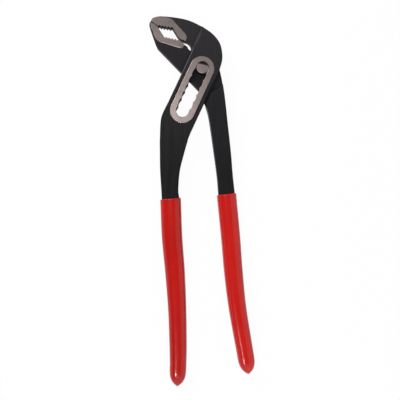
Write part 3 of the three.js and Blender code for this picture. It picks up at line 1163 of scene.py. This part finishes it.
@dataclass
class InnerLever(Lever):
    """Lower jaw, tongue and right handle, in one forging."""

    tongue_half: float = 3.5
    hub_radius: float = 14.2
    sweep_gap: float = 0.5
    opening: float = 60.0  # degrees
    shoulder_radius: float = 21.0
    shoulder_side: float = 15.05  # across the slot
    bore: float = 4.9
    bore_flare: float = 0.1  # rounding of the bore's rims
    jaw_gap: float = 0.6
    hub_from: float = 112.0  # degrees
    hub_to: float = -4.0
    flank: Points = ((-35.1, 32.1), (-31.3, 26.2))
    teeth_end: Point = (-19.1, 23.5)
    pad_end: Points = ((-15.6, 20.5), (-14, 19))
    throat: Points = ((-12.1, 17.8), (-11.5, 16.5), (-10.9, 15.4), (-10, 14.9))
    jaw_back: Points = ((-42.88, 35.5), (-41.4, 30.8), (-39.7, 25.9), (-38.2, 21.6), (-36.3, 17.2))
    pad_back: Points = ((-41.7, 33.9), (-38.2, 24.5), (-35.4, 21.7), (-18.4, 16.6), (-16.3, 16.3))
    neck: Points = ((-3.2, -17), (0, -22.5))
    tongue_fillet: float = 0.4
    pad_fillet: float = 0.35
    pad_spread: float = 2.0  # of its lower edge's fillet
    shoulder_fillet: float = 0.4

    def mouth(self) -> list[Run]:
        """The lower jaw's mouth, from the nose to the end of the pad.

        Returns:
            The runs.
        """
        tip, end = np.array(self.tip), np.array(self.contact_end)
        along = end - tip
        drop = np.array([along[1], -along[0]]) * self.jaw_gap / length(along)
        row = self.tooth_row(self.teeth_end, self.flank[1])
        return [
            Run([tip + drop], corner=0.5, fillet=self.mouth_fillet),
            Run([end + drop, self.flank[0]], corner=0.3, fillet=self.mouth_fillet),
            Run(row[::-1], corner=self.tooth_corner, fillet=self.mouth_fillet),
            Run(self.pad_end[:1], corner=0.8, fillet=self.mouth_fillet),
        ]

    def tongue(self) -> Solid:
        """Lower jaw, tongue with its hub, and the neck of the handle, in black.

        Returns:
            The solid.
        """
        neck = spline([self.handle.left[2], self.neck[1], self.neck[0]], steps=24)
        outline = Outline.of(
            *self.mouth(),
            Run(self.pad_end[1:], corner=0.5, fillet=self.mouth_fillet),
            Run(self.throat, corner=0.8, fillet=self.tongue_fillet),
            Run(arc(np.zeros(2), self.hub_radius, self.hub_from, self.hub_to), fillet=self.tongue_fillet),
            Run(spline(self.handle.right[:3], steps=24), fillet=self.tongue_fillet),
            Run(neck, fillet=self.tongue_fillet),
            Run(spline(self.jaw_back[::-1], steps=30), fillet=self.tongue_fillet),
            step=self.pad_step,
        )
        return plate(outline, self.tongue_half, Mark.BLACK, Mark.BLACK, Mark.WALL)

    def pad(self) -> Solid:
        """Bright ground face of the lower jaw.

        Returns:
            The solid.
        """
        outline = Outline.of(
            *self.mouth(),
            Run(self.pad_end[1:], corner=0.5, fillet=self.pad_fillet),
            Run(self.pad_back[:2:-1], corner=0.6, fillet=self.pad_fillet, spread=self.pad_spread),
            Run(self.pad_back[2::-1], corner=1.4, fillet=self.pad_fillet),
            step=self.pad_step,
        )
        return plate(outline, self.pad_half, Mark.GROUND, Mark.GROUND, Mark.WALL)

    def passage(self) -> np.ndarray:
        """Outline of the space that the tongue sweeps between the cheeks.

        Its top follows the hub, and the neck at full opening. Its foot follows the tongue's edge in
        the last notch, closed on the right and fully open on the left.

        Returns:
            The outline's points.
        """
        beyond = 130.0  # past the box
        last = self.joint.on_slot(0.0, -self.joint.travel)
        corner, neck = np.array(self.jaw_back[-1]), np.array(self.neck)
        edge = neck[0] - corner
        reach = abs(edge[0] * corner[1] - edge[1] * corner[0]) / length(edge) + self.sweep_gap
        normal = direction(edge[1], -edge[0])
        half_open = self.opening / 2
        foot = polar(reach / math.cos(math.radians(half_open)), normal + half_open) + last
        foot_left = foot + polar(beyond, normal + self.opening - 90)
        foot_right = np.array([*self.neck, self.handle.left[2], self.handle.left[3]]) + last
        foot_right[:, 0] -= self.sweep_gap
        hub = self.hub_radius + self.sweep_gap
        side = np.subtract(self.handle.right[1], self.handle.right[0])
        side_normal = direction(-side[1], side[0]) + self.opening
        side_end = polar(hub, side_normal) + polar(beyond, side_normal - 90)
        throat = np.add(self.throat[-1], (0, 2 * self.sweep_gap))
        return np.vstack([
            [throat[0] - beyond, throat[1]],
            throat,
            arc(np.zeros(2), hub, self.hub_from, side_normal),
            side_end,
            [side_end[0], foot_right[-1, 1]],
            foot_right[::-1],
            foot,
            foot_left,
        ])

    def build(self, finishes: Finishes) -> bpy.types.Object:
        """Clears the handle beside the cheeks, then joins it to the tongue and the pad.

        Args:
            finishes: the finishes that the marks stand for.

        Returns:
            The piece.
        """
        far = 80.0  # past the handle
        on, clear = self.joint.on_slot, self.shoulder_side
        beside = Outline.of(Run([on(clear, far), on(-far, far), on(-far, -far), on(clear, -far)]), step=4.0)
        radii = (self.shoulder_radius, self.bore)
        round_pin, bore = (Outline.of(Run(arc(np.zeros(2), radius, 0, 360)[1:])) for radius in radii)
        parts = [
            (Cut.CUT, hole(beside, self.handle.thick, self.shoulder_fillet, Mark.BLACK, Mark.WALL)),
            (Cut.CUT, hole(round_pin, self.handle.thick, self.shoulder_fillet, Mark.BLACK, Mark.WALL)),
            (Cut.JOIN, self.tongue()),
            (Cut.JOIN, self.pad()),
            (Cut.CUT, hole(bore, self.tongue_half, self.bore_flare, Mark.WALL, Mark.WALL)),
        ]
        piece = assembled("inner_lever_forging", self.handle.shank(), parts, self.joint, finishes)
        return settle(piece, "inner_lever", "inner")


@dataclass
class PivotPin:
    """The pin, round but for one flat that faces the jaws."""

    joint: Joint
    radius: float = 4.75
    flat: float = 2.45
    lean: float = 13.0  # degrees, clockwise from +Y
    half: float = 6.6
    fillet: float = 0.15

    def build(self, finishes: Finishes) -> bpy.types.Object:
        """Makes a short bar with rounded ends.

        Args:
            finishes: the finishes that the marks stand for.

        Returns:
            The piece.
        """
        middle = 90 - self.lean
        gap = math.degrees(math.acos(self.flat / self.radius))
        sides = arc(np.zeros(2), self.radius, middle + gap, middle + 360 - gap)
        outline = Outline.of(Run(sides, fillet=self.fillet), step=0.5)
        solid = plate(outline, self.half, Mark.GROUND, Mark.GROUND, Mark.WALL)
        piece = assembled("pivot_pin_bar", solid, [], self.joint, finishes)
        return settle(piece, "pivot_pin", "pin")


@dataclass
class DippedGrip:
    """One dipped sleeve."""

    joint: Joint
    handle: Handle
    node: str
    body: str
    wall: float = 1.03
    gap: float = 0.3
    squareness: float = 2.5

    def build(self, finish: bpy.types.Material) -> bpy.types.Object:
        """Makes the sleeve as one closed skin.

        Args:
            finish: the sleeve's finish.

        Returns:
            The piece.
        """
        solid = self.handle.sleeve(self.wall, self.gap, self.squareness)
        name = self.node + "_sleeve"
        piece = placed(name, solid.mesh(name, [finish], self.joint.pin))
        piece.data.shade_smooth()
        return settle(piece, self.node, self.body)


@dataclass(frozen=True)
class Lamp:
    """A rectangular soft lamp that looks at a point."""

    name: str
    place: Place
    target: Place
    size: tuple[float, float]  # metres
    power: float  # watts

    def build(self) -> None:
        """Makes the lamp, turned to its target with +Y up in its view."""
        data = bpy.data.lights.new(self.name, "AREA")
        data.shape = "RECTANGLE"
        data.size, data.size_y = self.size
        data.energy = self.power
        lamp = placed(self.name, data)
        back = (Vector(self.place) - Vector(self.target)).normalized()
        side = Vector((0, 1, 0)).cross(back).normalized()
        turned = Matrix((side, back.cross(side), back)).transposed().to_4x4()
        lamp.matrix_world = Matrix.Translation(Vector(self.place)) @ turned


@dataclass
class Studio:
    """Camera straight above the tool, soft lamps and a pale floor."""

    joint: Joint
    pin_pixel: tuple[float, float] = (202.0, 69.62)
    foot_pixel: tuple[float, float] = (174.0, 208.0)  # straight under the camera
    pixel: float = 0.8165  # mm at the middle plane
    distance: float = 430.0  # mm above the middle plane
    world: float = 0.2
    lamps: list[Lamp] = field(default_factory=lambda: [
        Lamp("key", (-0.2, -0.46, 0.62), (0.0, -0.05, 0.0), (0.05, 0.15), 2.1),
        Lamp("left", (-0.32, 0.45, 0.32), (0.0, 0.1, 0.0), (0.3, 0.3), 3.0),
        Lamp("overhead", (-0.09, 0.18, 0.9), (-0.02, 0.08, 0.0), (0.2, 0.2), 0.65),
        Lamp("right", (0.6, -0.15, 0.55), (0.0, -0.1, 0.0), (0.8, 1.0), 2.0),
        Lamp("front", (0.15, -0.7, 0.45), (0.03, -0.1, 0.0), (0.8, 0.5), 1.2),
    ])

    def build(self) -> None:
        """Makes the camera, the lamps, the world and the floor."""
        scene = bpy.context.scene
        scene.view_settings.view_transform = "Standard"
        scene.camera = self._camera()
        for lamp in self.lamps:
            lamp.build()
        scene.world = self._world()
        self._floor()

    def _camera(self) -> bpy.types.Object:
        """The camera looks straight down at its foot, and its lens is shifted to the picture's middle.

        Returns:
            The camera.
        """
        middle = IMAGE_SIDE / 2
        x = self.joint.pin[0] + (self.foot_pixel[0] - self.pin_pixel[0]) * self.pixel * MM
        y = self.joint.pin[1] - (self.foot_pixel[1] - self.pin_pixel[1]) * self.pixel * MM
        data = bpy.data.cameras.new("camera")
        data.lens = data.sensor_width * self.distance / (IMAGE_SIDE * self.pixel)
        data.shift_x = (middle - self.foot_pixel[0]) / IMAGE_SIDE
        data.shift_y = (self.foot_pixel[1] - middle) / IMAGE_SIDE
        camera = placed("camera", data)
        camera.location = (x, y, self.joint.pin[2] + self.distance * MM)
        return camera

    def _world(self) -> bpy.types.World:
        """Even grey light from all round.

        Returns:
            The world.
        """
        world = bpy.data.worlds.new("even_light")
        world.use_nodes = True
        tree = world.node_tree
        tree.nodes.clear()
        grey = tree.nodes.new("ShaderNodeBackground")
        grey.inputs["Color"].default_value = (1, 1, 1, 1)
        grey.inputs["Strength"].default_value = self.world
        tree.links.new(grey.outputs[0], tree.nodes.new("ShaderNodeOutputWorld").inputs["Surface"])
        return world

    def _floor(self) -> None:
        """A round floor just under the tool, which bends up into a backdrop all round.

        With u from 0 to 90 degrees, the bend lies at radius flat + bend sin u and height
        bend (1 - cos u), and a wall stands on it.
        """
        flat, bend, top, below = 3000.0, 1000.0, 2000.0, -0.2  # mm
        steps, around = 12, 96
        turn = np.linspace(np.pi / 2, 0, steps + 1)
        radius = np.concatenate([[flat + bend], flat + bend * np.sin(turn)])
        height = np.concatenate([[top], bend * (1 - np.cos(turn))]) + below
        loop = polar(1.0, np.linspace(0, 360, around + 1)[:-1])
        level = np.broadcast_to(height[:, None, None], (len(height), len(loop), 1))
        rows = np.concatenate([radius[:, None, None] * loop[None], level], axis=2)
        shell = Solid.of_rows(rows, [Mark.BLACK] * (len(rows) - 1), (Mark.BLACK, Mark.BLACK))
        lid = len(shell.faces) - 2
        del shell.faces[lid]
        shell.marks = np.delete(shell.marks, lid)
        floor = placed("floor", shell.mesh("floor", [PaleFloor().material()], np.zeros(3)))


def steel_finishes(lay: float, pin: Place) -> tuple[Finishes, Finishes]:
    """The finishes that the marks of the outer and of the inner forging stand for, in order.

    Args:
        lay: degrees from +Y in which the bright faces were ground.
        pin: the pin's middle, round which the tongue is darkened with painted shade.

    Returns:
        The outer forging's finishes and the inner forging's.
    """
    outer = BlackOxide("black_oxide", linear(22, 21, 22), linear(46, 44, 46), gloss=0.08)
    # the tongue's material carries a patch of painted shade round the pin
    inner = BlackOxide("black_oxide_tongue", linear(24, 23, 25), linear(39, 37, 39), gloss=0.08, shaded_round=pin)
    shared = [
        GroundSteel("ground_steel", linear(140, 128, 126), linear(160, 147, 143), lay).material(),
        # much darker copy of black oxide for the sides and walls: painted shade in the recesses
        BlackOxide("black_oxide_wall_painted_shade", linear(5, 5, 5), linear(9, 8, 9), gloss=0.04).material(),
        # lighter, slightly metallic copy of black oxide for the bright fillets: a painted highlight
        BlackOxide("black_oxide_edge_painted_highlight", linear(60, 58, 61), linear(72, 70, 72), metal=0.2).material(),
    ]
    return [outer.material(), *shared], [inner.material(), *shared]


def main() -> None:
    """Builds the studio and then the pieces in order."""
    logging.basicConfig(level=logging.INFO, format="%(name)s: %(message)s")
    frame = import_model()
    joint = Joint.read(frame["joints"])
    Studio(joint).build()
    outer_steel, inner_steel = steel_finishes(lay=25.0, pin=tuple(joint.pin.tolist()))
    # the inner grip's red is a lighter copy of the outer grip's: painted light, for the lamp on the right
    outer_vinyl = DippedVinyl("dipped_vinyl_outer", linear(170, 11, 4), linear(184, 16, 8)).material()
    inner_vinyl = DippedVinyl("dipped_vinyl_inner", linear(183, 15, 9), linear(197, 22, 15)).material()
    inner = InnerLever(joint, INNER_HANDLE)
    outer = OuterLever(joint, OUTER_HANDLE)
    outer.build(inner, outer_steel)
    inner.build(inner_steel)
    PivotPin(joint).build(outer_steel)
    DippedGrip(joint, OUTER_HANDLE, "outer_grip", "outer").build(outer_vinyl)
    DippedGrip(joint, INNER_HANDLE, "inner_grip", "inner").build(inner_vinyl)


if __name__ == "__main__":
    main()
